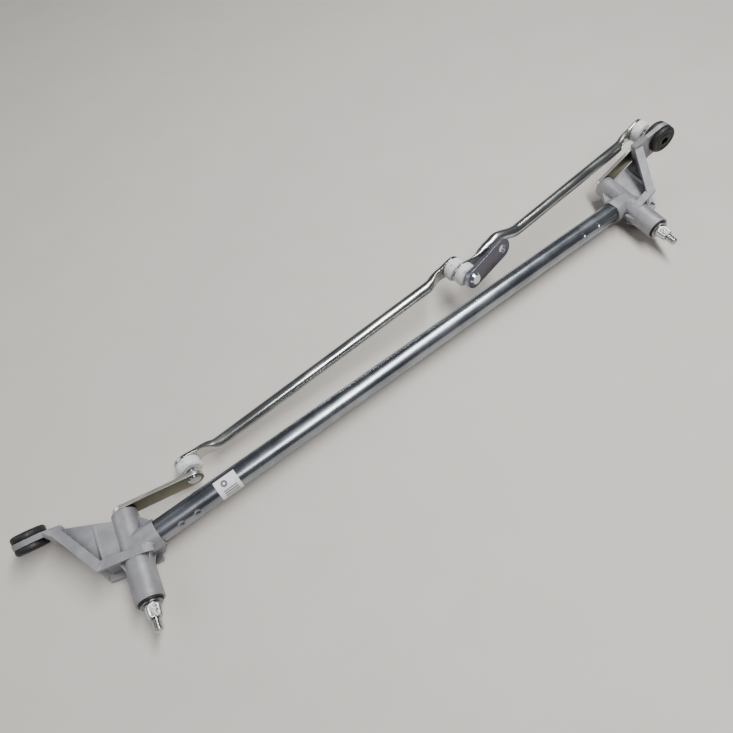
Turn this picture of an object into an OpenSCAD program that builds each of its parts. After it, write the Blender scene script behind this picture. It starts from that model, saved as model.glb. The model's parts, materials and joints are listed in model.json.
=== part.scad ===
// Windshield wiper linkage: two cast pivot housings joined by a steel tube, two wiper shafts
// with riveted cranks, two pressed-tube links and the motor crank that drives them.
//
// Row frame: the origin is the middle of the main tube, +X runs along the tube to the right-hand
// shaft, the wiper shafts point towards -Y, and +Z is up. Each side is modelled in a shaft frame:
// x is outward from the tube, y is along the shaft towards its threaded tip, z is up, and the
// origin is where the shaft axis crosses the tube axis.

/* [Frame] */
// Distance from the middle of the tube to each wiper shaft axis
half_span = 317; // [280:1:360]
// Lean of both wiper shafts from -Y towards -X, degrees
lean = 8.5; // [0:0.5:12]
// Outside diameter of the main tube
tube_d = 22; // [20:0.5:24]
// Wall thickness of the main tube
tube_wall = 1.6; // [1.2:0.1:2]
// Distance from a shaft axis to the end of the main tube
tube_gap = 24.6; // [22:0.2:30]

/* [Pivot housings] */
// Barrel diameter on the crank side of the flange
barrel_crank_d = 23; // [22:0.5:26]
// Barrel diameter on the tip side of the flange
barrel_tip_d = 24.8; // [24:0.2:28]
// Station of the barrel face at the crank end
barrel_start = -36; // [-40:0.5:-34]
// Station of the barrel face at the tip end
barrel_end = 51; // [46:1:56]
// Thickness of the cast walls
wall_t = 8.3; // [7:0.1:9]
// Depth of the channel in the outside of the cast wall
recess = 6; // [3:0.5:6]
// Thickness of the arm where it holds the rubber mount
arm_t = 5.2; // [4:0.1:8]
// Height of the front edge of the cast wall above the shaft axis
wall_front = 13; // [12:0.5:15]
// Depth of the rear edge of the cast wall below the shaft axis
wall_rear = 22; // [16:0.5:22]
// Width and thickness of the two lips along the cast wall
lip = 3.8; // [3:0.1:4]
// Slope of the flange across the barrel, left and right, degrees
flange_slope = [5, 11]; // [0:1:12]
// Distance from the shaft axis to the wall corner, left and right
corner_a = [31.2, 25.6]; // [24:0.1:34]
// Station along the shaft of the wall corner, left and right
corner_b = [10, 18.3]; // [5:0.1:25]
// Distance from the shaft axis to the elbow of the wall, left and right
elbow_a = [58.6, 48.4]; // [46:0.1:64]
// Station along the shaft of the elbow, left and right
elbow_b = [-39.4, -27.3]; // [-42:0.1:-26]
// Climb of the sloping wall from its corner to its elbow, left and right
elbow_rise = [0, 20]; // [0:1:24]
// Reach of the flange past the shaft axis towards the tube, left and right
flange_reach = [24, 13]; // [12:1:26]
// Roll of each housing about its shaft, left and right, degrees
housing_roll = [4, 22]; // [0:1:40]

/* [Rubber mounts] */
// Distance from the shaft axis to the rubber mount, left and right
mount_a = [83, 69.2]; // [66:0.1:90]
// Station of the rubber mount along the shaft, left and right
mount_b = [-56, -26.2]; // [-60:0.1:-25]
// Height of the rubber mount in the housing's own frame, left and right
mount_c = [-3.5, 24.4]; // [-6:0.1:30]
// Tilt of the rubber mount about its arm, left and right, degrees
mount_tilt = [30, 0]; // [0:1:30]
// Outside diameter of the rubber mount
grommet_d = 30; // [26:0.5:32]
// Height of the rubber mount
grommet_h = 19; // [17:0.5:20]
// Bore of the steel sleeve in the rubber mount
sleeve_bore = 8.4; // [6.4:0.1:8.4]

/* [Wiper shafts] */
// Diameter of the wiper shaft in its bushes
shaft_d = 13; // [12:0.5:14]
// Running gap between the shaft and its bushes, per side
running_gap = 0.04; // [0.02:0.01:0.08]
// Station where the knurled cone for the wiper arm starts
knurl_start = 54.4; // [54:0.1:56]
// Station where the knurled cone ends
knurl_end = 66; // [64:0.5:68]
// Small-end diameter of the knurled cone
knurl_small_d = 11.2; // [10.5:0.1:12]
// Nominal diameter of the arm nut thread
thread_d = 8; // [6:1:10]
// Station of the tip of the thread
tip_b = 77.5; // [74:0.5:82]

/* [Cranks] */
// Centre distance of each wiper crank
crank_len = 68; // [60:1:70]
// Width of the wiper cranks
crank_w = 19; // [18:1:21]
// Thickness of the wiper crank plates
crank_t = 4; // [3:0.5:4]
// Station of the middle of the crank plates along the shaft
crank_b = -39.5; // [-42:0.5:-39]
// Crank angle above the plane of the tube and shafts, left and right, degrees
crank_angle = [-5, 36]; // [-10:1:40]
// Centre distance of the motor crank
motor_len = 45; // [40:1:50]
// Width of the motor crank
motor_w = 21; // [18:1:22]
// Diameter of the motor crank round its hub
motor_hub_d = 22; // [20:1:26]
// Bore of the motor crank's hub
motor_bore_d = 10; // [8:0.5:12]
// Thickness of the motor crank plate
motor_t = 4.5; // [4:0.5:5]

/* [Ball joints and links] */
// Diameter of every ball
ball_d = 13; // [12:0.5:13]
// Distance between the two balls of the motor crank stud
twin_gap = 15; // [15:0.5:18]
// Distance from the crank plate to the ball centre
ball_reach = 11.5; // [11:0.5:12]
// Outside diameter of the plastic ball sockets
socket_d = 24.5; // [22:0.5:25]
// Clearance between ball and socket, per side
ball_gap = 0.1; // [0.05:0.01:0.15]
// Diameter of the link tubes
link_d = 12.6; // [11:0.1:14]
// Thickness of the flattened link ends
link_flat_t = 4; // [3:0.5:4]
// Centre of the left link's ball on the motor crank stud
centre_ball = [93.5, 40.4, 20]; // [20:0.1:100]
// Direction of the motor crank stud, from the left link's ball to the crank plate
stud_dir = [0.1, -0.96, 0.25]; // [-1:0.01:1]
// Rough direction of the motor crank from its stud to its hub
motor_dir = [0.98, 0.14, 0.17]; // [-1:0.01:1]
// Distance from the left link's ball to the motor crank plate
motor_plate_at = 25.5; // [25:0.5:28]

/* [Hidden] */

$fn = 64;
LEFT = 0;
RIGHT = 1;
SIDE_SIGN = [-1, 1];
// Overlap that joins pieces of one casting, and overshoot of a cutting tool
bite = 0.5;
over = 1;
// Gap between touching pieces that are neither pressed nor bonded together
skin = 0.05;
// Small step where two bodies of one casting meet, so that their faces don't nearly coincide
seam = 0.2;

// Directions in the row frame: along the shafts towards their tips, and square to them
tip_dir = [-sin(lean), -cos(lean), 0];
across_dir = [cos(lean), -sin(lean), 0];
up_dir = [0, 0, 1];
rear_dir = [0, 1, 0];

// Pivot housing
wall_depth = wall_front + wall_rear;
wall_mid = (wall_front - wall_rear) / 2;
web_t = 5;
web_top = 5;
web_edge_b = -28;
// Keeps the web's edge inside the wall: behind the channel, and in front of the wall's inner face
web_inset = 5.8;
rib_w = 5;
rib_a = [26, 28];
rib_rise = 1.2;
neck_d = 26;
neck_flat = 23.6;
spigot_len = 62;
gusset_t = 5;
gusset_inset = 3;
gusset_start = 2;
gusset_rise = [4, 8];
cone_len = 8;
fin_t = 1.6;
fin_len = 13;
fin_rise = 4;
fin_turns = [30, 90, 150, 210, 330];
bush_d = 17;
bush_len = 16;
relief_d = 15.6;
seal_d = 20.8;
seal_seat = 1.8;
seal_t = 3.4;
grommet_neck_d = 19.6;
sleeve_d = 12;
function corner(i) = [corner_a[i], corner_b[i]];
function elbow(i) = [elbow_a[i], elbow_b[i]];
function leg(i) = elbow(i) - corner(i);

// Shaft, washer and ring
crank_front = crank_b + crank_t / 2;
crank_rear = crank_b - crank_t / 2;
spigot_d = 10;
rivet_d = 13;
rivet_h = 1.3;
rivet_taper = 3;
peened_h = 2;
thread_relief = 0.6;
washer_inset = 3;
groove_d = 11.6;
ring_b = 53;
ring_t = 1.2;
ring_d = 19;
chamfer = 1;

// Ball joints: the link plates sit behind the balls
ball_b = crank_b - ball_reach;
shank_d = 8;
neck_stud_d = 8.2;
collar_d = 13;
collar_h = 1.5;
open_gap = 0.4;
socket_front = 4;
socket_base = 6.2;
socket_boss_d = 14;
socket_lip_d = 17;
socket_lip_h = 1.8;
thin_flat_t = 2.5;
thin_base = 5.2;
twin_neck_d = 7;
function ball_at(i) = [SIDE_SIGN[i] * half_span, 0, 0] + ball_b * tip_dir
    + crank_len * (cos(crank_angle[i]) * across_dir + sin(crank_angle[i]) * up_dir);
crank_turn = [180 + crank_angle[LEFT], -crank_angle[RIGHT]];

// Motor crank stud and the two link centre lines
function unit(v) = v / norm(v);
stud_axis = unit(stud_dir);
motor_axis = unit(motor_dir - (motor_dir * stud_axis) * stud_axis);
outer_ball = centre_ball + twin_gap * stud_axis;
left_balls = [ball_at(LEFT), centre_ball];
right_balls = [outer_ball, ball_at(RIGHT)];

// Links: heights are measured from the line through the two ball centres, towards the cranks
link_disc_d = 24;
link_flat_w = 17;
flat_reach = 17;
round_reach = 38;
slice = 0.5;
link_facets = 32;
plate_z = -socket_base - link_flat_t / 2;
thin_plate_z = -thin_base - thin_flat_t / 2;
tube_z = plate_z + (link_d - link_flat_t) / 2;
right_bends = [[38, 5, -7.3], [52, 6.5, -8.1], [80, 0.4, tube_z]];

// Crimps and label on the main tube
crimp_at = [[20, 36.5], [32, 55]];
crimp_r = 5;
crimp_depth = 1.1;
crimp_turn = [62, 45];
label_t = 0.2;
label_x = -221;
label_w = 22;
label_span = 123;
label_turn = 50;

// Puts children in the shaft frame of one side
module side_frame(i) {
    if (i == LEFT)
        translate([-half_span, 0, 0]) rotate([0, 0, 180 - lean]) children();
    else
        translate([half_span, 0, 0]) rotate([0, 0, 180 - lean]) mirror([1, 0, 0]) children();
}

// Puts children in the rolled frame of one housing
module housing_frame(i) {
    side_frame(i) rotate([0, -housing_roll[i], 0]) children();
}

// Turns z towards the shaft tip, starting at a station along the shaft
module along_shaft(station) {
    translate([0, station, 0]) rotate([-90, 0, 0]) children();
}

// Puts children in a crank's frame: x along the crank, y towards the tip, origin in its plate
module crank_frame(i) {
    side_frame(i) rotate([0, crank_turn[i], 0]) translate([0, crank_b, 0]) children();
}

// Places children at a point, with their x and z turned to two square directions
module place(origin, x_dir, z_dir) {
    y_dir = cross(z_dir, x_dir);
    multmatrix([
        [x_dir.x, y_dir.x, z_dir.x, origin.x],
        [x_dir.y, y_dir.y, z_dir.y, origin.y],
        [x_dir.z, y_dir.z, z_dir.z, origin.z],
        [0, 0, 0, 1]
    ]) children();
}

// Ring with its lower face at z = 0
module ring(outer_d, inner_d, height) {
    difference() {
        cylinder(d = outer_d, h = height);
        translate([0, 0, -over]) cylinder(d = inner_d, h = height + 2 * over);
    }
}

// Outline of a lever with two round ends and straight tangent sides
module lever_outline(length, d1, d2) {
    hull() {
        circle(d = d1);
        translate([length, 0]) circle(d = d2);
    }
}

// Sloping leg of the wall, from its outer face inwards; it climbs towards the elbow
module leg_panel(i, low, high, depth, from = 0) {
    length = norm(leg(i));
    drop = from * elbow_rise[i] / length;
    translate(corner(i)) rotate([90, 0, atan2(leg(i).y, leg(i).x)]) translate([0, 0, -from])
        linear_extrude(depth + from) polygon([
            [-from, low - drop],
            [length, low + elbow_rise[i]],
            [length, high + elbow_rise[i]],
            [-from, high - drop]
        ]);
}

// Flange of the wall across the barrel, from its outer face inwards
module flange_panel(i, low, high, depth, from = 0) {
    length = corner_a[i] + flange_reach[i] + over;
    translate(corner(i)) rotate([0, 0, 180 - flange_slope[i]])
        translate([-from, -from, low]) cube([length + from, depth + from, high - low]);
}

// Keeps the flange inside the round end that it has next to the tube
module flange_limit(i) {
    round_r = wall_depth / 2;
    round_a = round_r - flange_reach[i];
    span = 2 * corner_a[i];
    along_shaft(corner_b[i] - span) translate([round_a, -wall_mid, 0])
        cylinder(r = round_r, h = 2 * span);
    translate([round_a, corner_b[i] - span, -wall_rear]) cube([2 * corner_a[i], 2 * span, wall_depth]);
}

// Cast wall as a channel with a front lip and a rear lip; the lips are wider on the sloping leg
module cast_wall(i) {
    low = lip - wall_rear;
    high = wall_front - lip;
    difference() {
        union() {
            leg_panel(i, -wall_rear, wall_front, wall_t);
            intersection() {
                flange_panel(i, seam - wall_rear, wall_front - seam, wall_t);
                flange_limit(i);
            }
        }
        leg_panel(i, low + bite, high - bite, recess, over);
        flange_panel(i, low, high, recess, over);
    }
}

// Flat web between the barrel and the wall, with one rounded rib
module cast_web(i) {
    e = elbow(i);
    c = corner(i);
    translate([0, 0, web_top - web_t]) linear_extrude(web_t)
        polygon([
            [0, web_edge_b],
            [e.x - wall_t, e.y - wall_t + over],
            [e.x - web_inset, e.y - web_inset],
            [c.x - web_inset, c.y - web_inset],
            [0, c.y - web_inset]
        ]);
    rib_start = web_edge_b + (e.y - wall_t - web_edge_b) * rib_a[i] / e.x;
    translate([rib_a[i], 0, web_top + rib_rise - rib_w / 2]) along_shaft(rib_start + over)
        cylinder(d = rib_w, h = c.y - web_inset - rib_start);
}

// Arm that carries the rubber mount: a twist from the elbow, then a flat plate with a round end
module mount_arm(i) {
    e = elbow(i);
    ring_r = grommet_d / 2 + bite;
    hull() {
        translate([e.x - wall_t, e.y - wall_t, elbow_rise[i] - wall_rear + seam])
            cube([wall_t - seam, wall_t - seam, wall_depth - 2 * seam]);
        mount_frame(i) translate([-ring_r, seam - ring_r, seam - arm_t / 2])
            cube([slice, 2 * (ring_r - seam), arm_t - 2 * seam]);
    }
    mount_frame(i) translate([0, 0, -arm_t / 2]) {
        cylinder(r = ring_r, h = arm_t);
        translate([-ring_r, -ring_r, 0]) cube([ring_r, 2 * ring_r, arm_t]);
    }
}

// Frame of a rubber mount: z along its bore, towards the shaft tip
module mount_frame(i) {
    translate([mount_a[i], mount_b[i], mount_c[i]])
        rotate([-mount_tilt[i], 0, 0]) rotate([-90, 0, 0]) children();
}

// Thin triangular fin that braces the barrel against the flange
module barrel_fin(i, turn) {
    rotate([0, turn, 0]) translate([0, corner_b[i] - over, -fin_t / 2]) linear_extrude(fin_t)
        polygon([
            [barrel_tip_d / 2 - over, 0],
            [barrel_tip_d / 2 + fin_rise, 0],
            [barrel_tip_d / 2 - over, fin_len]
        ]);
}

// Outer shape of the barrel: crank side, tip side and the cone between them
module barrel_body() {
    along_shaft(barrel_start) cylinder(d = barrel_crank_d, h = -barrel_start);
    along_shaft(0) cylinder(d1 = barrel_crank_d, d2 = barrel_tip_d, h = cone_len);
    along_shaft(cone_len) cylinder(d = barrel_tip_d, h = barrel_end - cone_len);
}

// Bore of the barrel: two bush seats, a relief between them and a seat for the seal
module barrel_bore() {
    seal_start = barrel_end - seal_seat;
    along_shaft(barrel_start - over) cylinder(d = relief_d, h = barrel_end - barrel_start + 2 * over);
    along_shaft(barrel_start - over) cylinder(d = bush_d, h = bush_len + over);
    along_shaft(seal_start - bush_len) cylinder(d = bush_d, h = bush_len + over);
    along_shaft(seal_start) cylinder(d = seal_d, h = seal_seat + over);
}

// Neck with two flats from the barrel to the tube, and the spigot inside the tube
module tube_neck(i) {
    translate([SIDE_SIGN[i] * half_span, 0, 0]) rotate([0, -90 * SIDE_SIGN[i], 0]) {
        intersection() {
            cylinder(d = neck_d, h = tube_gap);
            translate([-neck_flat / 2, -neck_d, 0]) cube([neck_flat, 2 * neck_d, tube_gap]);
        }
        cylinder(d = tube_d - 2 * tube_wall, h = tube_gap + spigot_len);
    }
}

// Small web in the angle between the barrel and the neck
module neck_gusset(i) {
    neck_b = SIDE_SIGN[i] * tube_gap * tan(lean) - neck_flat / 2;
    start_b = web_edge_b + gusset_start;
    neck_a = gusset_inset - tube_gap;
    translate([0, 0, -gusset_t / 2]) linear_extrude(gusset_t)
        polygon([
            [-over, start_b],
            [-barrel_crank_d / 2, start_b],
            [neck_a, neck_b],
            [neck_a, neck_b + gusset_rise[0]],
            [-over, neck_b + gusset_rise[1]]
        ]);
}

module pivot_housing(i) {
    color("lightslategray") difference() {
        union() {
            housing_frame(i) {
                cast_wall(i);
                cast_web(i);
                mount_arm(i);
                for (turn = fin_turns) barrel_fin(i, turn);
            }
            side_frame(i) barrel_body();
            side_frame(i) neck_gusset(i);
            tube_neck(i);
        }
        side_frame(i) barrel_bore();
        housing_frame(i) mount_frame(i) translate([0, 0, -wall_t])
            cylinder(d = grommet_neck_d, h = 2 * wall_t);
    }
}

// Rubber mount: two flanges and the neck that fills the ring of the arm
module grommet(i) {
    half = grommet_h / 2;
    groove = arm_t / 2 + skin;
    edge = 1.2;
    r = grommet_d / 2;
    neck_r = grommet_neck_d / 2;
    bore_r = sleeve_d / 2;
    color("black") housing_frame(i) mount_frame(i) rotate_extrude() polygon([
        [bore_r, -half], [r - 2 * edge, -half], [r - edge, -half + edge / 2], [r, -half + 2 * edge],
        [r, -groove], [neck_r, -groove], [neck_r, groove], [r, groove],
        [r, half - 2 * edge], [r - edge, half - edge / 2], [r - 2 * edge, half], [bore_r, half]
    ]);
}

module mount_sleeve(i) {
    color("silver") housing_frame(i) mount_frame(i) translate([0, 0, -grommet_h / 2])
        ring(sleeve_d, sleeve_bore, grommet_h);
}

module shaft_bush(i, station) {
    color("darkgoldenrod") side_frame(i) along_shaft(station)
        ring(bush_d, shaft_d + 2 * running_gap, bush_len);
}

module crank_bush(i) {
    shaft_bush(i, barrel_start);
}

module tip_bush(i) {
    shaft_bush(i, barrel_end - seal_seat - bush_len);
}

module shaft_seal(i) {
    color("black") side_frame(i) along_shaft(barrel_end - seal_seat)
        ring(seal_d, shaft_d + 4 * skin, seal_t);
}

// Wiper shaft: crank spigot and peened head, running length, ring groove, cone and thread
module wiper_shaft(i) {
    r = shaft_d / 2;
    head_r = rivet_d / 2 + over;
    thread_r = thread_d / 2;
    color("silver") side_frame(i) along_shaft(0) rotate_extrude() polygon([
        [0, crank_rear - peened_h], [head_r - chamfer, crank_rear - peened_h], [head_r, crank_rear - chamfer],
        [head_r, crank_rear], [spigot_d / 2, crank_rear], [spigot_d / 2, crank_front], [r, crank_front],
        [r, ring_b], [groove_d / 2, ring_b], [groove_d / 2, ring_b + ring_t], [r, ring_b + ring_t],
        [r, knurl_start], [knurl_small_d / 2, knurl_end], [thread_r - thread_relief, knurl_end],
        [thread_r - thread_relief, knurl_end + chamfer], [thread_r, knurl_end + chamfer + thread_relief],
        [thread_r, tip_b - chamfer], [thread_r - chamfer, tip_b], [0, tip_b]
    ]);
}

module thrust_washer(i) {
    color("gainsboro") side_frame(i) along_shaft(crank_front)
        ring(barrel_crank_d - washer_inset, shaft_d + 2 * skin, barrel_start - crank_front - skin);
}

module retaining_ring(i) {
    color("dimgray") side_frame(i) along_shaft(ring_b + skin)
        ring(ring_d, groove_d + 2 * skin, ring_t - 2 * skin);
}

// Wiper crank plate with its spigot hole and its ball stud hole
module wiper_crank(i) {
    color("darkkhaki") crank_frame(i) rotate([90, 0, 0]) difference() {
        linear_extrude(crank_t, center = true) lever_outline(crank_len, crank_w, crank_w);
        cylinder(d = spigot_d, h = 2 * crank_t, center = true);
        translate([crank_len, 0, 0]) cylinder(d = shank_d, h = 2 * crank_t, center = true);
    }
}

// Frame of a crank's ball: z points from the ball to the crank plate and the shaft tip
module crank_ball_frame(i) {
    crank_frame(i) translate([crank_len, -ball_reach, 0]) rotate([-90, 0, 0]) children();
}

// Ball and neck that stop short of the crank's collar
module ball_and_neck(neck_end) {
    sphere(d = ball_d);
    cylinder(d = neck_stud_d, h = neck_end);
}

// Collar behind the crank plate, shank through it and riveted head in front of it
module stud_root() {
    plate = ball_reach - crank_t / 2;
    translate([0, 0, plate - collar_h]) cylinder(d = collar_d, h = collar_h);
    translate([0, 0, plate - over]) cylinder(d = shank_d, h = crank_t + over + bite);
    translate([0, 0, plate + crank_t]) cylinder(d1 = rivet_d, d2 = rivet_d - rivet_taper, h = rivet_h);
}

module left_ball_stud() {
    color("silver") crank_ball_frame(LEFT) union() {
        ball_and_neck(ball_reach - crank_t / 2);
        stud_root();
    }
}

// The right ball joint is where the linkage loop is open: its ball stays in the link's socket
module right_ball_pin() {
    color("silver") crank_ball_frame(RIGHT) ball_and_neck(ball_reach - crank_t / 2 - collar_h - open_gap);
}

module right_ball_rivet() {
    color("silver") crank_ball_frame(RIGHT) stud_root();
}

// Frame of a link: origin at one of its balls, x towards the other ball, z towards the cranks
module link_frame(balls, end = 0) {
    x_dir = unit(balls[1] - balls[0]);
    place(balls[end], x_dir, unit(-rear_dir + (rear_dir * x_dir) * x_dir)) children();
}

// Flattened end of a link at x = 0: a round plate that swells into the tube
module link_end(flat_t, flat_z, round_at) {
    bottom = flat_z - flat_t / 2;
    translate([0, 0, bottom]) linear_extrude(flat_t) {
        circle(d = link_disc_d);
        hull() {
            circle(d = link_disc_d, $fn = link_facets);
            translate([flat_reach, -link_flat_w / 2]) square([slice, link_flat_w]);
        }
    }
    hull() {
        translate([flat_reach, -link_flat_w / 2, bottom]) cube([slice, link_flat_w, flat_t]);
        link_slice(round_at);
    }
}

// Thin round slice of a link tube at a point
module link_slice(at) {
    translate(at) rotate([0, 90, 0]) cylinder(d = link_d, h = slice, $fn = link_facets);
}

// Tube between two points of a link
module link_bar(a, b) {
    hull() {
        link_slice(a);
        link_slice(b);
    }
}

module link_holes(length) {
    for (x = [0, length])
        translate([x, 0, -2 * link_d]) cylinder(d = socket_boss_d, h = 3 * link_d);
}

module left_link() {
    length = norm(left_balls[1] - left_balls[0]);
    round_at = [round_reach, 0, tube_z];
    color("silver") link_frame(left_balls) difference() {
        union() {
            link_end(link_flat_t, plate_z, round_at);
            translate([length, 0, 0]) mirror([1, 0, 0]) link_end(link_flat_t, plate_z, round_at);
            translate(round_at) rotate([0, 90, 0]) cylinder(d = link_d, h = length - 2 * round_reach);
        }
        link_holes(length);
    }
}

module right_link() {
    length = norm(right_balls[1] - right_balls[0]);
    round_at = [round_reach, 0, tube_z];
    path = concat(right_bends, [[length - round_reach - slice, 0, tube_z]]);
    color("silver") link_frame(right_balls) difference() {
        union() {
            link_end(thin_flat_t, thin_plate_z, right_bends[0]);
            translate([length, 0, 0]) mirror([1, 0, 0]) link_end(link_flat_t, plate_z, round_at);
            for (k = [1 : len(path) - 1]) link_bar(path[k - 1], path[k]);
        }
        link_holes(length);
    }
}

// Snap-in socket: its origin is the ball centre and z points out of its mouth
module socket(base, plate_t, lip_h) {
    edge = 2;
    r = socket_d / 2;
    boss_r = socket_boss_d / 2 - skin;
    bottom = -base - plate_t;
    difference() {
        rotate_extrude() polygon([
            [0, bottom - lip_h], [lip_h > 0 ? socket_lip_d / 2 : boss_r, bottom - lip_h],
            [lip_h > 0 ? socket_lip_d / 2 : boss_r, bottom - skin], [boss_r, bottom - skin],
            [boss_r, -base + skin], [r, -base + skin], [r, socket_front - edge],
            [r - edge, socket_front], [0, socket_front]
        ]);
        sphere(d = ball_d + 2 * ball_gap);
        cylinder(r = sqrt(pow(ball_d / 2, 2) - pow(socket_front, 2)), h = socket_front + over);
    }
}

module left_link_outer_socket() {
    color("ivory") link_frame(left_balls, 0) socket(socket_base, link_flat_t, socket_lip_h);
}

module left_link_inner_socket() {
    color("ivory") link_frame(left_balls, 1) socket(socket_base, link_flat_t, socket_lip_h);
}

module right_link_outer_socket() {
    color("ivory") link_frame(right_balls, 1) socket(socket_base, link_flat_t, socket_lip_h);
}

// The stud runs on through this socket to the other ball, so it has a slanted passage
module right_link_inner_socket() {
    color("ivory") difference() {
        link_frame(right_balls, 0) socket(thin_base, thin_flat_t, 0);
        place(outer_ball, motor_axis, -stud_axis) cylinder(d = twin_neck_d + 2, h = twin_gap);
    }
}

// Frame of the motor crank stud: z along the stud, x along the crank
module stud_frame() {
    place(centre_ball, motor_axis, stud_axis) children();
}

module motor_crank() {
    color("slategray") stud_frame() translate([0, 0, motor_plate_at - motor_t / 2]) difference() {
        linear_extrude(motor_t) lever_outline(motor_len, motor_w, motor_hub_d);
        translate([0, 0, -over]) cylinder(d = shank_d, h = motor_t + 2 * over);
        translate([motor_len, 0, -over]) cylinder(d = motor_bore_d, h = motor_t + 2 * over);
    }
}

module motor_ball_stud() {
    plate = motor_plate_at - motor_t / 2;
    head_d = 14;
    head_top_d = 10;
    head_h = 2.6;
    color("silver") stud_frame() union() {
        sphere(d = ball_d);
        cylinder(d = twin_neck_d, h = twin_gap);
        translate([0, 0, twin_gap]) sphere(d = ball_d);
        translate([0, 0, twin_gap]) cylinder(d = shank_d, h = plate + motor_t - twin_gap + skin);
        translate([0, 0, plate + motor_t]) cylinder(d1 = head_d, d2 = head_top_d, h = head_h);
    }
}

// Main tube: two shallow crimps near each end hold the spigots of the housings
module main_tube() {
    end_x = half_span - tube_gap;
    reach = tube_d / 2 + crimp_r - crimp_depth;
    color("lightsteelblue") difference() {
        translate([-end_x, 0, 0]) rotate([0, 90, 0]) ring(tube_d, tube_d - 2 * tube_wall, 2 * end_x);
        for (i = [LEFT, RIGHT], at = crimp_at[i])
            translate([SIDE_SIGN[i] * (end_x - at), 0, 0]) rotate([crimp_turn[i], 0, 0])
                translate([0, 0, reach]) sphere(r = crimp_r);
    }
}

// Blank paper label wrapped part of the way round the tube
module tube_label() {
    inner = tube_d / 2 + skin / 2;
    color("white") translate([label_x, 0, 0]) rotate([label_turn, 0, 0]) rotate([0, 90, 0])
        rotate([0, 0, 180 - label_span / 2])
        rotate_extrude(angle = label_span) translate([inner, -label_w / 2]) square([label_t, label_w]);
}

main_tube();
tube_label();
pivot_housing(LEFT);  // left_pivot_housing
pivot_housing(RIGHT);  // right_pivot_housing
grommet(LEFT);  // left_grommet
grommet(RIGHT);  // right_grommet
mount_sleeve(LEFT);  // left_mount_sleeve
mount_sleeve(RIGHT);  // right_mount_sleeve
crank_bush(LEFT);  // left_crank_bush
crank_bush(RIGHT);  // right_crank_bush
tip_bush(LEFT);  // left_tip_bush
tip_bush(RIGHT);  // right_tip_bush
shaft_seal(LEFT);  // left_shaft_seal
shaft_seal(RIGHT);  // right_shaft_seal
wiper_shaft(LEFT);  // left_wiper_shaft
wiper_shaft(RIGHT);  // right_wiper_shaft
thrust_washer(LEFT);  // left_thrust_washer
thrust_washer(RIGHT);  // right_thrust_washer
retaining_ring(LEFT);  // left_retaining_ring
retaining_ring(RIGHT);  // right_retaining_ring
wiper_crank(LEFT);  // left_crank
wiper_crank(RIGHT);  // right_crank
left_ball_stud();
right_ball_pin();
right_ball_rivet();
left_link();
right_link();
left_link_outer_socket();
left_link_inner_socket();
right_link_inner_socket();
right_link_outer_socket();
motor_crank();
motor_ball_stud();
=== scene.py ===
"""Looks of a windshield wiper linkage: cast pivot housings on a steel tube, shafts, cranks and links."""

import json
import math

import bpy
from mathutils import Matrix, Vector


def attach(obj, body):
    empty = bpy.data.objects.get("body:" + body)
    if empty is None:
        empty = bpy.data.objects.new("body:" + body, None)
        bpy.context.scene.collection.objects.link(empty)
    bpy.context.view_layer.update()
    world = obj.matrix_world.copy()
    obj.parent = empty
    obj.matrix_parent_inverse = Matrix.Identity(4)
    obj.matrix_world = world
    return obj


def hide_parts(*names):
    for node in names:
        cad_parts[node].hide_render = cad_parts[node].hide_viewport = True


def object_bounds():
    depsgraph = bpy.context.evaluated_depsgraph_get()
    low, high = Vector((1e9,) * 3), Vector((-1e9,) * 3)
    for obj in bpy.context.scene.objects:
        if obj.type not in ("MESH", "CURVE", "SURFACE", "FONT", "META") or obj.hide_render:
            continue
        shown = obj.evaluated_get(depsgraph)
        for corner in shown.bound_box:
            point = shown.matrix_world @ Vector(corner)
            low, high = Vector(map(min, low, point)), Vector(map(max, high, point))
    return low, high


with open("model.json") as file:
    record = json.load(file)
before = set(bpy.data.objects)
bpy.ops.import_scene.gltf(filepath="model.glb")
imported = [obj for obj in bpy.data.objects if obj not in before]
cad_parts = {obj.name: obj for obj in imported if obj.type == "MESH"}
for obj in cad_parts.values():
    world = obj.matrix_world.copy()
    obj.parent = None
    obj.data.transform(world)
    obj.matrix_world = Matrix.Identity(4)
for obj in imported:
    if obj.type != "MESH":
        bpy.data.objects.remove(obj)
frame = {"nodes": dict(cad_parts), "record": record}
cad_low, cad_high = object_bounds()

MM = 0.001

# Dimensions shared with the CAD part, in millimetres and degrees. Each pair is left, right.
HALF_SPAN = 317.0
LEAN = math.radians(8.5)
SIDES = ("left", "right")
SIDE_SIGN = (-1, 1)
CRANK_LEN = 68.0
CRANK_B = -39.5
CRANK_T = 4.0
CRANK_ANGLE = (math.radians(-5), math.radians(36))
BALL_REACH = 11.5
CENTRE_BALL = Vector((93.5, 40.4, 20.0))
STUD_AXIS = Vector((0.1, -0.96, 0.25)).normalized()
TWIN_GAP = 15.0

# Directions along the shafts towards their tips, and square to them
TIP = Vector((-math.sin(LEAN), -math.cos(LEAN), 0))
ACROSS = Vector((math.cos(LEAN), -math.sin(LEAN), 0))
UP = Vector((0, 0, 1))
REAR = Vector((0, 1, 0))

# Wiper shaft
SHAFT_R = 6.5
SPIGOT_R = 5.0
HEAD_R = 7.5
HEAD_H = 2.0
GROOVE_R = 5.8
SHAFT_EDGE = 0.4
HEAD_FLAT_R = 0.55 * HEAD_R
RING_B = 53.0
RING_T = 1.2
KNURL_B = (54.4, 66.0)
KNURL_R = (6.5, 5.6)
KNURL_TEETH = 32
KNURL_DEPTH = 0.55
# The teeth are full a sixth of the way along the cone, and keep a share of their depth at the tip end
KNURL_RAMP = 6
KNURL_END_SHARE = 0.3
THREAD_B = (67.6, 76.5)
THREAD_R = 4.0
THREAD_DEPTH = 0.62
THREAD_PITCH = 1.25
TIP_B = 77.5

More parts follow.
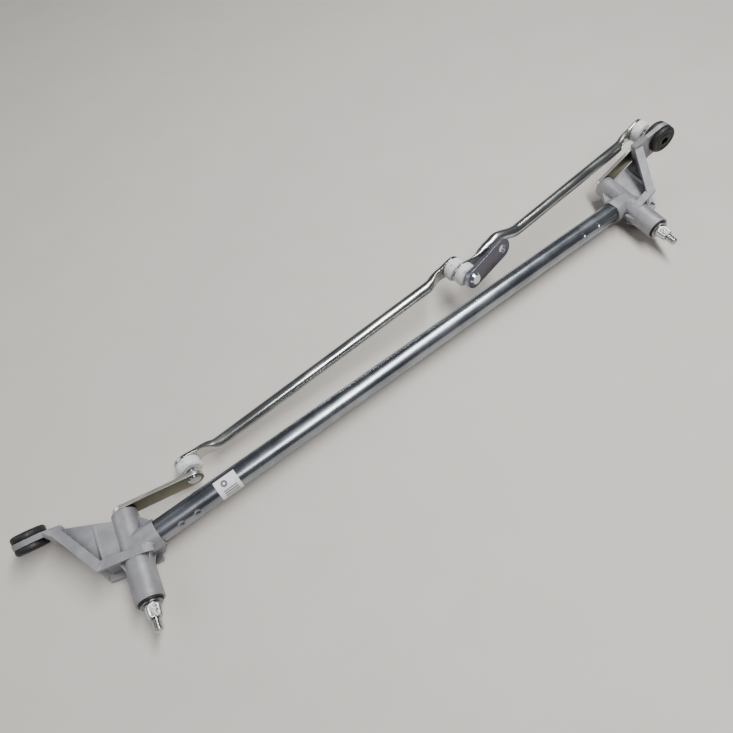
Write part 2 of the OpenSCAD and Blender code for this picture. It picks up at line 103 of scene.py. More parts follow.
# Links: heights are measured from the line through the two ball centres, towards the cranks
LINK_R = 6.3
DISC_R = 12.0
FLAT_W = 8.5
FLAT_REACH = 17.0
ROUND_REACH = 38.0
SOCKET_BASE = 6.2
PLATE_T = 4.0
THIN_BASE = 5.2
THIN_T = 2.5
HOLE_R = 7.0
PLATE_BACK = -SOCKET_BASE - PLATE_T
THIN_BACK = -THIN_BASE - THIN_T
TUBE_Z = PLATE_BACK + LINK_R
# Sections of the links: power 2 is round, a higher power is squarer
ROUND_POWER = 2
FLAT_POWER = 7
ROUNDING_PACE = 1.3
TIP_THICKNESS_SHARE = 0.85
TIP_HALF_W = 0.6
STRAIGHT_LEAD = 4.0
STRAIGHT_TAIL = 2.0

# Stations of the right link's S-bend: along the link, sideways, height
RIGHT_BENDS = ((38.0, 5.0, -7.3), (52.0, 6.5, -8.1), (80.0, 0.4, TUBE_Z))

# Rubber mounts
MOUNT_R = 15.0
MOUNT_HALF = 9.5
MOUNT_NECK_R = 9.8
MOUNT_GROOVE = 2.65
SLEEVE_R = 6.0
# Half the section of a rubber mount. Face points lie out from the sleeve and down from the face, rim points
# in from the rim and down from the face, lip points in from the rim and up from the groove.
FACE_POINTS = ((0.0, 0.4), (0.5, 0.0), (2.2, 0.0), (2.8, 0.9), (4.0, 0.9), (4.6, 0.1))
RIM_POINTS = ((2.6, 0.3), (1.2, 0.9), (0.3, 2.0), (0.0, 3.2))
LIP_POINTS = ((0.1, 0.7), (0.6, 0.0))

# Label on the main tube. Places are along the tube and round it, from the label's middle.
TUBE_R = 11.0
LABEL_X = -221.0
LABEL_TURN = math.radians(50)
MARK_RING_AT = (-2.5, 5.5)
MARK_RING_R = 2.2
MARK_RING_HALF_W = 1.0
MARK_BLOCK_AT = (0.5, -4.5)
MARK_BLOCK_HALF = (7.0, 4.2)
BARS_PER_MM = 0.4
BAR_GAP_SHARE = 0.45

# Mesh detail
RING_POINTS = 64
TOOTH_POINTS = 4
KNURL_STEPS = 12
THREAD_STEPS = 64
TIP_STEPS = 10
FLAT_STEPS = 6
ROUNDING_STEPS = 12
BEND_STEPS = 24
STRAIGHT_STEPS = 8
SHARP_DEG = 35
TOOTHED_SHARP_DEG = 50
MOULDED_SHARP_DEG = 60

# Rounding of the edges of CAD nodes
BEVEL_WIDTH = 0.5
BEVEL_SEGMENTS = 2
BEVEL_DEG = 32
FLAT_DEG = 0.4
WELD_GAP = 1e-6
BEVELLED = (
    "left_pivot_housing",
    "right_pivot_housing",
    "left_crank",
    "right_crank",
    "motor_crank",
    "left_link_outer_socket",
    "left_link_inner_socket",
    "right_link_inner_socket",
    "right_link_outer_socket",
)

# Streaks of drawn tube run along x
ALONG_TUBE = (30, 1, 1)

# Noise: its usual roughness, and the band of it that makes soft clouds
NOISE_ROUGH = 0.55
CLOUDS = (0.3, 0.7)

# Cosines between a face and its rounded normal, from no wear to full wear
WORN_COSINES = (0.995, 0.85)
# Cosines between a face and a plate's normal, from broad face to side face with the full painted highlight
SIDE_COSINES = (0.8, 0.3)
# Open share of the surroundings, from no painted shade to full painted shade
CREVICE_SHARES = (0.8, 0.35)
NODE_SAMPLES = 4

# Plated steel: how much darker its marks and its painted shade in corners are than the dark tone, and how
# strong they are
STREAK_SHADE = 0.7
STAIN_SHADE = 0.6
# The tone and strength of the painted shade in corners come next, after the stain shade
PAINTED_SHADE_TONE = 0.25
PAINTED_SHADE_SHARE = 0.6
PLATED_WEAR = 0.8
CLOUD_WEIGHT = 0.5
# Pale colours of the cranks' worn edges and sides: partly wear, partly a painted highlight
CRANK_WEAR_AND_HIGHLIGHT = (0.85, 0.82, 0.74)
MOTOR_WEAR_AND_HIGHLIGHT = (0.42, 0.44, 0.52)

# Die-cast alloy
CAST_DARK = (0.27, 0.27, 0.29)
CAST_LIGHT = (0.41, 0.41, 0.43)
CAST_GRAIN = (0.19, 0.19, 0.2)
# Colour of the painted shade in the alloy's corners and recesses
CAST_PAINTED_SHADE = (0.045, 0.044, 0.045)
CAST_EDGE = (0.66, 0.66, 0.7)
# Strength of that painted shade
CAST_PAINTED_SHADE_SHARE = 0.92
CAST_WEAR = 0.75

# Rubber, nylon, bronze and paper
RUBBER_BLACK = (0.011, 0.011, 0.012)
RUBBER_DUST = (0.07, 0.065, 0.06)
NYLON_CLEAN = (0.74, 0.76, 0.74)
NYLON_GREASE = (0.32, 0.33, 0.33)
# Colour and strength of the painted shade in the nylon's corners
NYLON_PAINTED_SHADE = (0.1, 0.1, 0.1)
NYLON_PAINTED_SHADE_SHARE = 0.7
NYLON_GLOW = 0.12
NYLON_GLOW_REACH = (1.2, 1.2, 1.0)
BRONZE_LIGHT = (0.45, 0.3, 0.13)
BRONZE_PORE = (0.12, 0.08, 0.04)
PAPER_LIGHT = (0.82, 0.81, 0.86)
PAPER_DARK = (0.66, 0.64, 0.68)
INK = (0.03, 0.03, 0.035)
INK_SHARE = 0.88

# Floor, in metres, and its gap under the object in millimetres
FLOOR_SIZE = 4.0
FLOOR_GAP = 0.5
FLOOR_DARK = (0.56, 0.525, 0.48)
FLOOR_LIGHT = (0.62, 0.585, 0.54)

# Light: direction from the object, then distance and size in metres, and power in watts
WORLD_COLOR = (0.5, 0.52, 0.56, 1)
WORLD_STRENGTH = 0.24
LIGHTS = {
    "key": dict(direction=(0.25, -0.16, 0.95), distance=1.6, size=(1.8, 0.3), power=44),
    "fill": dict(direction=(-0.9, 0.5, 0.8), distance=2.4, size=(1.6, 1.6), power=15),
}

# Camera
CAMERA_AT = (-196.47, -276.22, 494.88)
CAMERA_RIGHT = Vector((0.7944, -0.5967, -0.1130))
CAMERA_LOOK = Vector((0.2527, 0.4940, -0.8320))
CAMERA_LENS = 28.79
CAMERA_CLIP = 0.01


def scaled(point):
    """A point given in millimetres, in metres."""
    return Vector(point) * MM


def frame_matrix(origin, x_dir, z_dir):
    """Matrix that puts a local frame at an origin, with its x and z along two square directions."""
    y_dir = z_dir.cross(x_dir)
    rows = [[x_dir[k], y_dir[k], z_dir[k], origin[k]] for k in range(3)]
    return Matrix(rows + [[0, 0, 0, 1]])


def shaft_origin(side):
    """Point where a wiper shaft crosses the tube axis."""
    return Vector((SIDE_SIGN[side] * HALF_SPAN, 0, 0))


def shaft_matrix(side):
    """Frame of a wiper shaft: z towards its threaded tip."""
    return frame_matrix(shaft_origin(side), ACROSS, TIP)


def crank_ball(side):
    """Centre of the ball on a wiper crank."""
    turned = math.cos(CRANK_ANGLE[side]) * ACROSS + math.sin(CRANK_ANGLE[side]) * UP
    return shaft_origin(side) + (CRANK_B - BALL_REACH) * TIP + CRANK_LEN * turned


def link_matrix(start, end):
    """Frame of a link: x from ball to ball, z towards the cranks."""
    x_dir = (end - start).normalized()
    z_dir = (-REAR + REAR.dot(x_dir) * x_dir).normalized()
    return frame_matrix(start, x_dir, z_dir)


def smooth(t):
    """Smooth step from 0 to 1."""
    t = min(max(t, 0.0), 1.0)
    return t * t * (3 - 2 * t)


def mix(a, b, t):
    """Value or point between a and b."""
    return a + (b - a) * t


def add_object(name, points, faces, sharp_deg):
    """New object from points in metres, shaded smooth apart from its sharp edges."""
    mesh = bpy.data.meshes.new(name)
    mesh.from_pydata(points, [], faces)
    mesh.validate()
    mesh.shade_smooth()
    mesh.set_sharp_from_angle(angle=math.radians(sharp_deg))
    obj = bpy.data.objects.new(name, mesh)
    bpy.context.scene.collection.objects.link(obj)
    return obj


def mesh_object(name, rings, matrix, sharp_deg=SHARP_DEG):
    """Closed mesh through rings of points in millimetres, with a fan over each end."""
    count = len(rings[0])
    points = [matrix @ Vector(p) * MM for ring in rings for p in ring]
    ends = [sum((Vector(p) for p in ring), Vector()) / count for ring in (rings[0], rings[-1])]
    first_end = len(points)
    points += [matrix @ p * MM for p in ends]
    faces = []
    for k in range(len(rings) - 1):
        for i in range(count):
            j = (i + 1) % count
            faces.append((k * count + i, k * count + j, (k + 1) * count + j, (k + 1) * count + i))
    last = (len(rings) - 1) * count
    for i in range(count):
        j = (i + 1) % count
        faces.append((first_end, j, i))
        faces.append((first_end + 1, last + i, last + j))
    return add_object(name, points, faces, sharp_deg)


def round_ring(radius, height, count=RING_POINTS):
    """Ring of points round z; radius is a number or a function of the angle."""
    ring = []
    for i in range(count):
        angle = 2 * math.pi * i / count
        r = radius(angle) if callable(radius) else radius
        ring.append((r * math.cos(angle), r * math.sin(angle), height))
    return ring


def super_ring(x, y, z, half_w, half_t, power, count=RING_POINTS):
    """Ring square to x: a round at power 2, a flat bar with rounded edges at higher powers."""
    ring = []
    for i in range(count):
        angle = 2 * math.pi * i / count
        c = math.cos(angle)
        s = math.sin(angle)
        across = math.copysign(abs(c) ** (2 / power), c) * half_w
        above = math.copysign(abs(s) ** (2 / power), s) * half_t
        ring.append((x, y + across, z + above))
    return ring


def finish_piece(obj, body, node, material):
    """Puts a piece on its body, in place of its CAD node, with its finish."""
    obj.data.materials.append(material)
    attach(obj, body)
    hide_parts(node)


def knurl_radius(b):
    """Radius of the toothed cone at a station, as a function of the angle."""
    share = (b - KNURL_B[0]) / (KNURL_B[1] - KNURL_B[0])
    top = mix(KNURL_R[0], KNURL_R[1], share)
    depth = KNURL_DEPTH * min(1, KNURL_RAMP * share, KNURL_RAMP * (1 - share) + KNURL_END_SHARE)
    return lambda angle: top - depth * (0.5 - 0.5 * math.cos(KNURL_TEETH * angle))


def thread_radius(b):
    """Radius of the thread at a station, as a function of the angle."""
    run_in = min(1, (b - THREAD_B[0]) / THREAD_PITCH, (THREAD_B[1] - b) / THREAD_PITCH)
    depth = THREAD_DEPTH * max(0, run_in)

    def radius(angle):
        phase = (b / THREAD_PITCH - angle / (2 * math.pi)) % 1
        return THREAD_R - depth * (1 - abs(2 * phase - 1))

    return radius


def steps(low, high, count):
    """Evenly spaced values, both ends included."""
    return [mix(low, high, k / count) for k in range(count + 1)]


def build_shaft(side, material):
    """Wiper shaft with its peened head, ring groove, toothed cone and helical thread."""
    crank_rear = CRANK_B - CRANK_T / 2
    crank_front = CRANK_B + CRANK_T / 2
    head_rear = crank_rear - HEAD_H
    root_r = THREAD_R - THREAD_DEPTH
    profile = [
        (HEAD_FLAT_R, head_rear),
        (HEAD_R - 2 * SHAFT_EDGE, head_rear + SHAFT_EDGE / 2),
        (HEAD_R - SHAFT_EDGE / 2, head_rear + 2 * SHAFT_EDGE),
        (HEAD_R, crank_rear - SHAFT_EDGE),
        (HEAD_R, crank_rear),
        (SPIGOT_R, crank_rear),
        (SPIGOT_R, crank_front),
        (SHAFT_R, crank_front),
        (SHAFT_R, RING_B),
        (GROOVE_R, RING_B),
        (GROOVE_R, RING_B + RING_T),
        (SHAFT_R, RING_B + RING_T),
    ]
    profile += [(knurl_radius(b), b) for b in steps(*KNURL_B, KNURL_STEPS)]
    profile += [(KNURL_R[1] - SHAFT_EDGE, KNURL_B[1] + SHAFT_EDGE)]
    profile += [(root_r, KNURL_B[1] + SHAFT_EDGE), (root_r, THREAD_B[0] - SHAFT_EDGE)]
    profile += [(thread_radius(b), b) for b in steps(*THREAD_B, THREAD_STEPS)]
    profile += [(root_r, TIP_B - SHAFT_EDGE), (root_r - 2 * SHAFT_EDGE, TIP_B)]
    rings = [round_ring(radius, b, TOOTH_POINTS * KNURL_TEETH) for radius, b in profile]
    obj = mesh_object(f"{SIDES[side]}_shaft_toothed", rings, shaft_matrix(side), TOOTHED_SHARP_DEG)
    finish_piece(obj, f"{SIDES[side]}_shaft", f"{SIDES[side]}_wiper_shaft", material)


def end_stations(back, thickness):
    """Stations of a flattened link end: (x, half width, half thickness, height of its middle, power)."""
    rows = []
    for k in range(TIP_STEPS + 1):
        x = -DISC_R * math.cos(math.pi / 2 * k / TIP_STEPS)
        half_t = thickness / 2 * (TIP_THICKNESS_SHARE if k == 0 else 1)
        half_w = max(math.sqrt(max(DISC_R**2 - x**2, 0)), TIP_HALF_W)
        rows.append((x, half_w, half_t, back + half_t, FLAT_POWER))
    for x in steps(0, FLAT_REACH, FLAT_STEPS)[1:]:
        half_w = mix(DISC_R, FLAT_W, smooth(x / FLAT_REACH))
        rows.append((x, half_w, thickness / 2, back + thickness / 2, FLAT_POWER))
    for x in steps(FLAT_REACH, ROUND_REACH, ROUNDING_STEPS)[1:]:
        share = smooth((x - FLAT_REACH) / (ROUND_REACH - FLAT_REACH))
        half_t = mix(thickness / 2, LINK_R, share)
        power = mix(FLAT_POWER, ROUND_POWER, min(1, ROUNDING_PACE * share))
        rows.append((x, mix(FLAT_W, LINK_R, share), half_t, back + half_t, power))
    return rows


def bend_path(x):
    """Sideways place and height of the right link's tube axis at a station."""
    knots = ((FLAT_REACH, 0.0, THIN_BACK + THIN_T / 2),) + RIGHT_BENDS
    for (x0, y0, z0), (x1, y1, z1) in zip(knots, knots[1:]):
        if x0 <= x <= x1:
            share = smooth((x - x0) / (x1 - x0))
            return mix(y0, y1, share), mix(z0, z1, share)
    return (0.0, TUBE_Z) if x > RIGHT_BENDS[-1][0] else (0.0, THIN_BACK + THIN_T / 2)


def link_rings(length, bent):
    """Rings of a pressed-tube link; the bent one has a thin inner end and an S-bend after it."""
    inner_back = THIN_BACK if bent else PLATE_BACK
    inner_t = THIN_T if bent else PLATE_T
    rings = []
    for x, half_w, half_t, z, power in end_stations(inner_back, inner_t):
        y = 0.0
        if bent and x > FLAT_REACH:
            y, z = bend_path(x)
        rings.append(super_ring(x, y, z, half_w, half_t, power))
    last = (RIGHT_BENDS[-1][0] if bent else ROUND_REACH) + STRAIGHT_LEAD
    if bent:
        for x in steps(ROUND_REACH, last, BEND_STEPS)[1:]:
            y, z = bend_path(x)
            rings.append(super_ring(x, y, z, LINK_R, LINK_R, ROUND_POWER))
    for x in steps(last, length - ROUND_REACH - STRAIGHT_TAIL, STRAIGHT_STEPS):
        rings.append(super_ring(x, 0, TUBE_Z, LINK_R, LINK_R, ROUND_POWER))
    for x, half_w, half_t, z, power in reversed(end_stations(PLATE_BACK, PLATE_T)):
        rings.append(super_ring(length - x, 0, z, half_w, half_t, power))
    return rings


def drill(obj, matrix, stations):
    """Cuts the socket holes through the flattened ends."""
    for x in stations:
        rings = [round_ring(HOLE_R, z) for z in (-3 * HOLE_R, HOLE_R)]
        moved = [[(px + x, py, pz) for px, py, pz in ring] for ring in rings]
        cutter = mesh_object("cutter", moved, matrix)
        cut = obj.modifiers.new("hole", "BOOLEAN")
        cut.object = cutter
        cut.solver = "EXACT"
        bpy.context.view_layer.objects.active = obj
        with bpy.context.temp_override(object=obj, active_object=obj):
            bpy.ops.object.modifier_apply(modifier=cut.name)
        bpy.data.objects.remove(cutter)
    obj.data.shade_smooth()
    obj.data.set_sharp_from_angle(angle=math.radians(SHARP_DEG))


def build_link(side, start, end, material):
    """Pressed-tube link between two balls."""
    matrix = link_matrix(start, end)
    length = (end - start).length
    name = f"{SIDES[side]}_link_pressed"
    obj = mesh_object(name, link_rings(length, bent=side == 1), matrix)
    drill(obj, matrix, (0.0, length))
    finish_piece(obj, f"{SIDES[side]}_link", f"{SIDES[side]}_link", material)


def mount_matrix(side):
    """Frame of a rubber mount, from the record's mount."""
    mount = next(m for m in frame["record"]["mounts"] if m["name"] == f"{SIDES[side]}_mount_bore")
    z_dir = Vector(mount["axis"]).normalized()
    x_dir = z_dir.orthogonal().normalized()
    return frame_matrix(Vector(mount["pos_m"]) / MM, x_dir, z_dir)


def build_grommet(side, material):
    """Rubber mount with rounded flanges, a shallow ring groove in each face and a neck."""
    half = [(SLEEVE_R + out, MOUNT_HALF - down) for out, down in FACE_POINTS]
    half += [(MOUNT_R - inset, MOUNT_HALF - down) for inset, down in RIM_POINTS]
    half += [(MOUNT_R - inset, MOUNT_GROOVE + up) for inset, up in LIP_POINTS]
    half.append((MOUNT_NECK_R, MOUNT_GROOVE))
    profile = half + [(r, -b) for r, b in reversed(half)]
    matrix = mount_matrix(side)
    count = RING_POINTS
    points = [matrix @ Vector(p) * MM for r, b in profile for p in round_ring(r, b)]
    faces = []
    for k in range(len(profile)):
        n = (k + 1) % len(profile)
        for i in range(count):
            j = (i + 1) % count
            faces.append((k * count + j, k * count + i, n * count + i, n * count + j))
    obj = add_object(f"{SIDES[side]}_grommet_moulded", points, faces, MOULDED_SHARP_DEG)
    finish_piece(obj, "frame", f"{SIDES[side]}_grommet", material)


class Finish:
    """A node material, built with short calls. Texture coordinates are in millimetres."""

    def __init__(self, name, metallic):
        self.material = bpy.data.materials.new(name)
        self.material.use_nodes = True
        self.tree = self.material.node_tree
        self.shader = self.tree.nodes["Principled BSDF"]
        self.shader.inputs["Metallic"].default_value = metallic
        self.place = self.node("ShaderNodeTexCoord").outputs["Object"]

    def node(self, kind, **settings):
        made = self.tree.nodes.new(kind)
        for key, value in settings.items():
            setattr(made, key, value)
        return made

    def link(self, output, target):
        self.tree.links.new(output, target)

    def feed(self, target, value):
        """Links an output to an input, or sets its value."""
        if isinstance(value, bpy.types.NodeSocket):
            self.link(value, target)
        elif isinstance(value, tuple) and len(value) == 3 and len(target.default_value) == 4:
            target.default_value = (*value, 1)
        else:
            target.default_value = value

    def noise(self, size, detail=4, stretch=(1, 1, 1), rough=NOISE_ROUGH):
        """Noise whose grain is about size millimetres, longer along an axis with a stretch above 1."""
        mapping = self.node("ShaderNodeMapping")
        self.link(self.place, mapping.inputs["Vector"])
        mapping.inputs["Scale"].default_value = [1 / (size * MM * s) for s in stretch]
        made = self.node("ShaderNodeTexNoise")
        self.link(mapping.outputs["Vector"], made.inputs["Vector"])
        made.inputs["Scale"].default_value = 1
        made.inputs["Detail"].default_value = detail
        made.inputs["Roughness"].default_value = rough
        return made.outputs["Fac"]

    def range(self, value, between, to=(0.0, 1.0)):
        """Value stretched from one range to another, held at its ends."""
        made = self.node("ShaderNodeMapRange", interpolation_type="SMOOTHSTEP")
        self.link(value, made.inputs["Value"])
        for key, number in zip(("From Min", "From Max", "To Min", "To Max"), (*between, *to)):
            made.inputs[key].default_value = number
        return made.outputs["Result"]

    def math(self, operation, a, b=0.0):
        made = self.node("ShaderNodeMath", operation=operation)
        self.feed(made.inputs[0], a)
        self.feed(made.inputs[1], b)
        return made.outputs["Value"]

    def times(self, a, b):
        return self.math("MULTIPLY", a, b)

    def within(self, value, middle, half):
        """1 where a value lies within half of the middle, else 0."""
        made = self.math("COMPARE", value, middle)
        made.node.inputs[2].default_value = half
        return made

    def blend(self, share, a, b):
        """Colour between a and b."""
        made = self.node("ShaderNodeMix", data_type="RGBA")
        self.feed(made.inputs["Factor"], share)
        self.feed(made.inputs["A"], a)
        self.feed(made.inputs["B"], b)
        return made.outputs["Result"]

    def edges(self, radius):
        """1 near convex and concave edges, 0 on flats; and the rounded normal."""
        bevel = self.node("ShaderNodeBevel", samples=NODE_SAMPLES)
        bevel.inputs["Radius"].default_value = radius * MM
        geometry = self.node("ShaderNodeNewGeometry")
        dot = self.node("ShaderNodeVectorMath", operation="DOT_PRODUCT")
        self.link(bevel.outputs["Normal"], dot.inputs[0])
        self.link(geometry.outputs["Normal"], dot.inputs[1])
        return self.range(dot.outputs["Value"], WORN_COSINES), bevel.outputs["Normal"]

    def across(self, plate_normal):
        """Mask of a painted highlight: 1 on faces square to a plate's own normal, 0 on its broad faces."""
        dot = self.node("ShaderNodeVectorMath", operation="DOT_PRODUCT")
        self.link(self.node("ShaderNodeTexCoord").outputs["Normal"], dot.inputs[0])
        dot.inputs[1].default_value = plate_normal
        return self.range(self.math("ABSOLUTE", dot.outputs["Value"]), SIDE_COSINES)

    def crevice(self, distance):
        """Mask of painted shade: 1 deep in corners, 0 in the open."""
        made = self.node("ShaderNodeAmbientOcclusion", samples=NODE_SAMPLES)
        made.inputs["Distance"].default_value = distance * MM
        return self.range(made.outputs["AO"], CREVICE_SHARES)

    def bump(self, height, depth, normal=None):
        """Bump of a depth in millimetres on the surface."""
        made = self.node("ShaderNodeBump")
        made.inputs["Distance"].default_value = depth * MM
        self.link(height, made.inputs["Height"])
        if normal is not None:
            self.link(normal, made.inputs["Normal"])
        return made.outputs["Normal"]

    def color(self, value):
        self.feed(self.shader.inputs["Base Color"], value)

    def roughness(self, value):
        self.feed(self.shader.inputs["Roughness"], value)

    def normal(self, value):
        self.feed(self.shader.inputs["Normal"], value)


def shaded(color, share):
    """A colour darkened to a share of itself."""
    return tuple(c * share for c in color)


def plated(name, dark, light, rough, streaks=0.3, wear_and_highlight=None, highlight_sides_of=None):
    """Zinc-plated steel: faint cloud, drawn streaks, fine scratches, bright worn edges, painted shade in
    corners and a painted highlight on a plate's sides.
    """
    made = Finish(name, metallic=1.0)
    cloud = made.range(made.noise(size=30, detail=3), between=CLOUDS)
    streak = made.noise(size=0.7, detail=3, stretch=ALONG_TUBE)
    tone = made.blend(cloud, dark, light)
    streaked = made.range(streak, between=(0.35, 0.8), to=(0, streaks))
    tone = made.blend(streaked, tone, shaded(dark, STREAK_SHADE))
    stain = made.range(made.noise(size=7, detail=6, rough=0.7), between=(0.66, 0.82), to=(0, 0.4))
    tone = made.blend(stain, tone, shaded(dark, STAIN_SHADE))
    worn, rounded = made.edges(radius=0.5)
    tone = made.blend(made.times(worn, PLATED_WEAR), tone, wear_and_highlight or light)
    # Painted highlight: a plate's side faces take the pale edge colour
    if highlight_sides_of is not None:
        tone = made.blend(made.across(highlight_sides_of), tone, wear_and_highlight)
    # Painted shade: corners darkened towards a share of the dark tone
    crevice_shade = made.times(made.crevice(distance=3), PAINTED_SHADE_SHARE)
    made.color(made.blend(crevice_shade, tone, shaded(dark, PAINTED_SHADE_TONE)))
    speck = made.range(made.noise(size=3, detail=4, stretch=ALONG_TUBE), between=(0.4, 0.8))
    uneven = made.math("ADD", made.times(cloud, CLOUD_WEIGHT), speck)
    made.roughness(made.range(uneven, between=(0, 1.5), to=rough))
    scratches = made.noise(size=0.35, detail=3, stretch=ALONG_TUBE)
    fine = made.bump(scratches, depth=0.02 * streaks, normal=rounded)
    made.normal(made.bump(made.noise(size=12, detail=2), depth=0.02, normal=fine))
    return made.material


def cast_alloy():
    """Die-cast alloy: grey with a faint violet cast, grainy skin, painted shade in corners and recesses, and
    paler edges.
    """
    made = Finish("cast_alloy", metallic=0.55)
    cloud = made.range(made.noise(size=22, detail=5), between=CLOUDS)
    tone = made.blend(cloud, CAST_DARK, CAST_LIGHT)
    grain = made.noise(size=0.9, detail=5, rough=0.7)
    tone = made.blend(made.range(grain, between=(0.35, 0.75), to=(0, 0.45)), tone, CAST_GRAIN)
    # Painted shade: corners and recesses darkened in patches towards near-black
    uneven = made.range(made.noise(size=6, detail=4), between=(0.25, 0.6), to=(0.65, 1))
    patchy_shade = made.times(made.crevice(distance=12), uneven)
    tone = made.blend(made.times(patchy_shade, CAST_PAINTED_SHADE_SHARE), tone, CAST_PAINTED_SHADE)
    worn, rounded = made.edges(radius=0.7)
    patch = made.range(made.noise(size=7, detail=3), between=(0.35, 0.6))
    made.color(made.blend(made.times(worn, made.times(patch, CAST_WEAR)), tone, CAST_EDGE))
    made.roughness(made.range(grain, between=(0.3, 0.75), to=(0.42, 0.68)))
    flow = made.bump(made.noise(size=5, detail=4, rough=0.6), depth=0.16, normal=rounded)
    made.normal(made.bump(grain, depth=0.1, normal=flow))
    return made.material


def rubber():
    """Moulded black rubber: matt, slightly dusty, with a fine skin."""
    made = Finish("rubber", metallic=0.0)
    dust = made.range(made.noise(size=4, detail=6, rough=0.7), between=(0.55, 0.85), to=(0, 0.25))
    made.color(made.blend(dust, RUBBER_BLACK, RUBBER_DUST))
    made.roughness(made.range(made.noise(size=2, detail=4), between=CLOUDS, to=(0.42, 0.7)))
    made.normal(made.bump(made.noise(size=0.8, detail=4), depth=0.06))
    return made.material


def nylon():
    """Off-white moulded nylon with patches of grey grease and painted shade in its corners."""
    made = Finish("socket_nylon", metallic=0.0)
    grease = made.range(made.noise(size=4, detail=5, rough=0.6), between=(0.5, 0.72), to=(0, 0.8))
    tone = made.blend(grease, NYLON_CLEAN, NYLON_GREASE)
    # Painted shade: corners darkened towards dark grey
    made.color(made.blend(made.times(made.crevice(distance=3), NYLON_PAINTED_SHADE_SHARE), tone, NYLON_PAINTED_SHADE))
    made.roughness(made.range(made.noise(size=3, detail=4), between=CLOUDS, to=(0.22, 0.5)))
    made.shader.inputs["Subsurface Weight"].default_value = NYLON_GLOW
    made.shader.inputs["Subsurface Radius"].default_value = [reach * MM for reach in NYLON_GLOW_REACH]
    rounded = made.edges(radius=0.6)[1]
    made.normal(made.bump(made.noise(size=2.5, detail=3), depth=0.05, normal=rounded))
    return made.material


def bronze():
    """Oiled sintered bronze with fine pores."""
    made = Finish("bush_bronze", metallic=0.9)
    pores = made.noise(size=0.5, detail=3, rough=0.7)
    made.color(made.blend(made.range(pores, between=(0.45, 0.75)), BRONZE_LIGHT, BRONZE_PORE))
    made.roughness(0.4)
    made.normal(made.bump(pores, depth=0.04))
    return made.material


def label_marks(made):
    """1 on the generic marks of the label, a solid ring and a block of plain bars, and 0 elsewhere."""
    split = made.node("ShaderNodeSeparateXYZ")
    made.link(made.place, split.inputs["Vector"])
    turn = made.math("ARCTAN2", split.outputs["Y"], split.outputs["Z"])
    along = made.math("DIVIDE", made.math("ADD", split.outputs["X"], -LABEL_X * MM), MM)
    around = made.times(made.math("ADD", turn, LABEL_TURN), TUBE_R)
    ring_u = made.math("ADD", along, -MARK_RING_AT[0])
    ring_v = made.math("ADD", around, -MARK_RING_AT[1])
    reach = made.math("SQRT", made.math("ADD", made.math("POWER", ring_u, 2), made.math("POWER", ring_v, 2)))
    ring = made.within(reach, MARK_RING_R, MARK_RING_HALF_W)
    bars = made.math("GREATER_THAN", made.math("FRACT", made.times(around, BARS_PER_MM)), BAR_GAP_SHARE)
    block_u = made.within(along, MARK_BLOCK_AT[0], MARK_BLOCK_HALF[0])
    block_v = made.within(around, MARK_BLOCK_AT[1], MARK_BLOCK_HALF[1])
    return made.math("MAXIMUM", ring, made.times(made.times(block_v, block_u), bars))


def label_paper():
    """White paper label with generic marks and no lettering."""
    made = Finish("label_paper", metallic=0.0)
    ink = made.times(label_marks(made), INK_SHARE)
    faded = made.range(made.noise(size=3, detail=4), between=(0.4, 0.7), to=(0, 0.3))
    made.color(made.blend(ink, made.blend(faded, PAPER_LIGHT, PAPER_DARK), INK))
    made.roughness(0.5)
    made.normal(made.bump(made.noise(size=1.5, detail=4), depth=0.05))
    return made.material


# Plated and bare steels: dark and light tone, and the range of their roughness
STEELS = {
    "zinc_tube": dict(dark=(0.24, 0.26, 0.29), light=(0.36, 0.385, 0.42), rough=(0.24, 0.36)),
    "link_zinc": dict(dark=(0.4, 0.41, 0.4), light=(0.56, 0.575, 0.55), rough=(0.18, 0.3), streaks=0.1),
    # Wiper cranks: the dark tones are painted shade on the broad faces, and the pale edge colour is partly
    # wear, partly a painted highlight on the sides
    "crank_zinc": dict(
        dark=(0.15, 0.145, 0.11),
        light=(0.25, 0.24, 0.19),
        rough=(0.3, 0.45),
        wear_and_highlight=CRANK_WEAR_AND_HIGHLIGHT,
        highlight_sides_of=TIP,
    ),
    # Motor crank: the pale bluish edge colour is partly wear, partly a painted highlight on the plate's
    # sides
    "motor_crank_zinc": dict(
        dark=(0.09, 0.085, 0.11),
        light=(0.16, 0.155, 0.19),
        rough=(0.28, 0.45),
        wear_and_highlight=MOTOR_WEAR_AND_HIGHLIGHT,
        highlight_sides_of=STUD_AXIS,
    ),
    "ball_steel": dict(dark=(0.5, 0.54, 0.6), light=(0.72, 0.76, 0.82), rough=(0.14, 0.3)),
    "shaft_steel": dict(dark=(0.42, 0.42, 0.42), light=(0.7, 0.7, 0.69), rough=(0.18, 0.34)),
    "sleeve_steel": dict(dark=(0.035, 0.035, 0.035), light=(0.08, 0.08, 0.08), rough=(0.4, 0.6)),
    "washer_steel": dict(dark=(0.2, 0.2, 0.2), light=(0.38, 0.38, 0.38), rough=(0.3, 0.5)),
}

# The finish of every material slot
MATERIALS = {name: plated(name, **tones) for name, tones in STEELS.items()}
MATERIALS.update(
    cast_alloy=cast_alloy(),
    rubber=rubber(),
    bush_bronze=bronze(),
    socket_nylon=nylon(),
    label_paper=label_paper(),
)


def round_edges(obj):
    """Welds a CAD node's faces together and rounds its sharp edges."""
    weld = obj.modifiers.new("weld", "WELD")
    weld.merge_threshold = WELD_GAP
    flat = obj.modifiers.new("flat", "DECIMATE")
    flat.decimate_type = "DISSOLVE"
    flat.angle_limit = math.radians(FLAT_DEG)
    bevel = obj.modifiers.new("bevel", "BEVEL")
    bevel.width = BEVEL_WIDTH * MM
    bevel.segments = BEVEL_SEGMENTS
    bevel.limit_method = "ANGLE"
    bevel.angle_limit = math.radians(BEVEL_DEG)
    normals = obj.modifiers.new("normals", "WEIGHTED_NORMAL")
    normals.keep_sharp = True


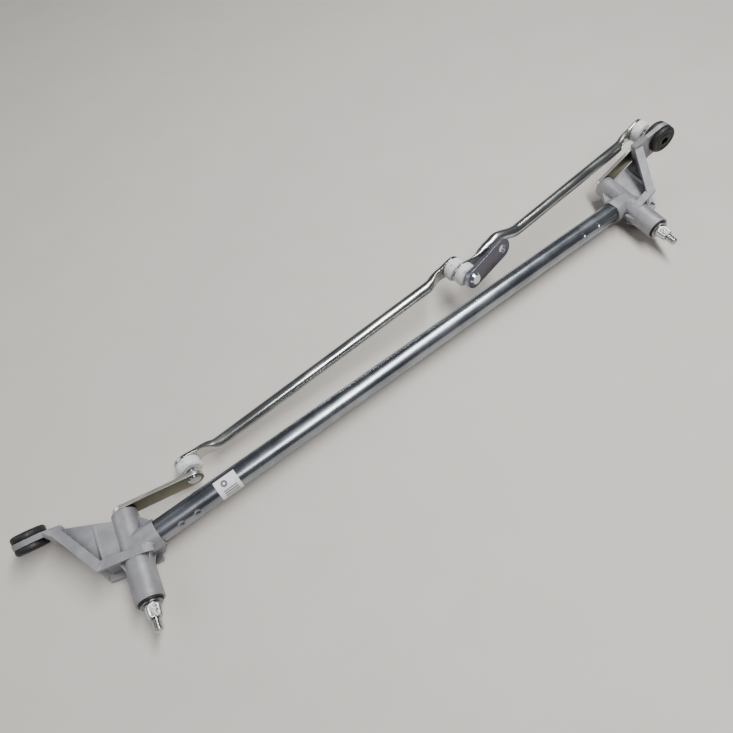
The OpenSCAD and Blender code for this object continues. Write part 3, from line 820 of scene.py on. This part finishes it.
def paint_nodes():
    """Gives every CAD node the finish of its material slot."""
    for part in frame["record"]["subparts"]:
        obj = frame["nodes"][part["node"]]
        obj.data.materials.clear()
        obj.data.materials.append(MATERIALS[part["material_slot"]])
        if part["node"] in BEVELLED:
            round_edges(obj)


def build_floor():
    """Plain pale floor under the object."""
    made = Finish("floor", metallic=0.0)
    made.color(made.blend(made.noise(size=60, detail=4), FLOOR_DARK, FLOOR_LIGHT))
    made.roughness(0.7)
    made.normal(made.bump(made.noise(size=2, detail=4), depth=0.05))
    bpy.ops.mesh.primitive_plane_add(size=FLOOR_SIZE, location=(0, 0, cad_low.z - FLOOR_GAP * MM))
    floor = bpy.context.object
    floor.name = "floor"
    floor.data.materials.append(made.material)


def add_area(name, direction, distance, size, power):
    """Rectangular soft light that looks at the middle of the object from a direction."""
    lamp = bpy.data.lights.new(name, "AREA")
    lamp.shape = "RECTANGLE"
    lamp.size, lamp.size_y = size
    lamp.energy = power
    obj = bpy.data.objects.new(name, lamp)
    away = Vector(direction).normalized()
    obj.location = away * distance
    obj.rotation_euler = away.to_track_quat("Z", "Y").to_euler()
    bpy.context.scene.collection.objects.link(obj)


def build_light():
    """Soft studio light: one long lamp overhead, a wide fill and a dim surround."""
    world = bpy.data.worlds.new("world")
    bpy.context.scene.world = world
    world.use_nodes = True
    background = world.node_tree.nodes["Background"]
    background.inputs["Color"].default_value = WORLD_COLOR
    background.inputs["Strength"].default_value = WORLD_STRENGTH
    for name, settings in LIGHTS.items():
        add_area(name, **settings)


def build_camera():
    """Camera at the reference view, above the tip side and looking down."""
    camera = bpy.data.cameras.new("camera")
    camera.lens = CAMERA_LENS
    camera.clip_start = CAMERA_CLIP
    look = CAMERA_LOOK.normalized()
    right = (CAMERA_RIGHT - CAMERA_RIGHT.dot(look) * look).normalized()
    obj = bpy.data.objects.new("camera", camera)
    obj.matrix_world = frame_matrix(scaled(CAMERA_AT), right, -look)
    bpy.context.scene.collection.objects.link(obj)
    bpy.context.scene.camera = obj


paint_nodes()
outer_ball = CENTRE_BALL + TWIN_GAP * STUD_AXIS
build_link(0, crank_ball(0), CENTRE_BALL, MATERIALS["link_zinc"])
build_link(1, outer_ball, crank_ball(1), MATERIALS["link_zinc"])
for side in (0, 1):
    build_shaft(side, MATERIALS["shaft_steel"])
    build_grommet(side, MATERIALS["rubber"])
build_floor()
build_light()
build_camera()
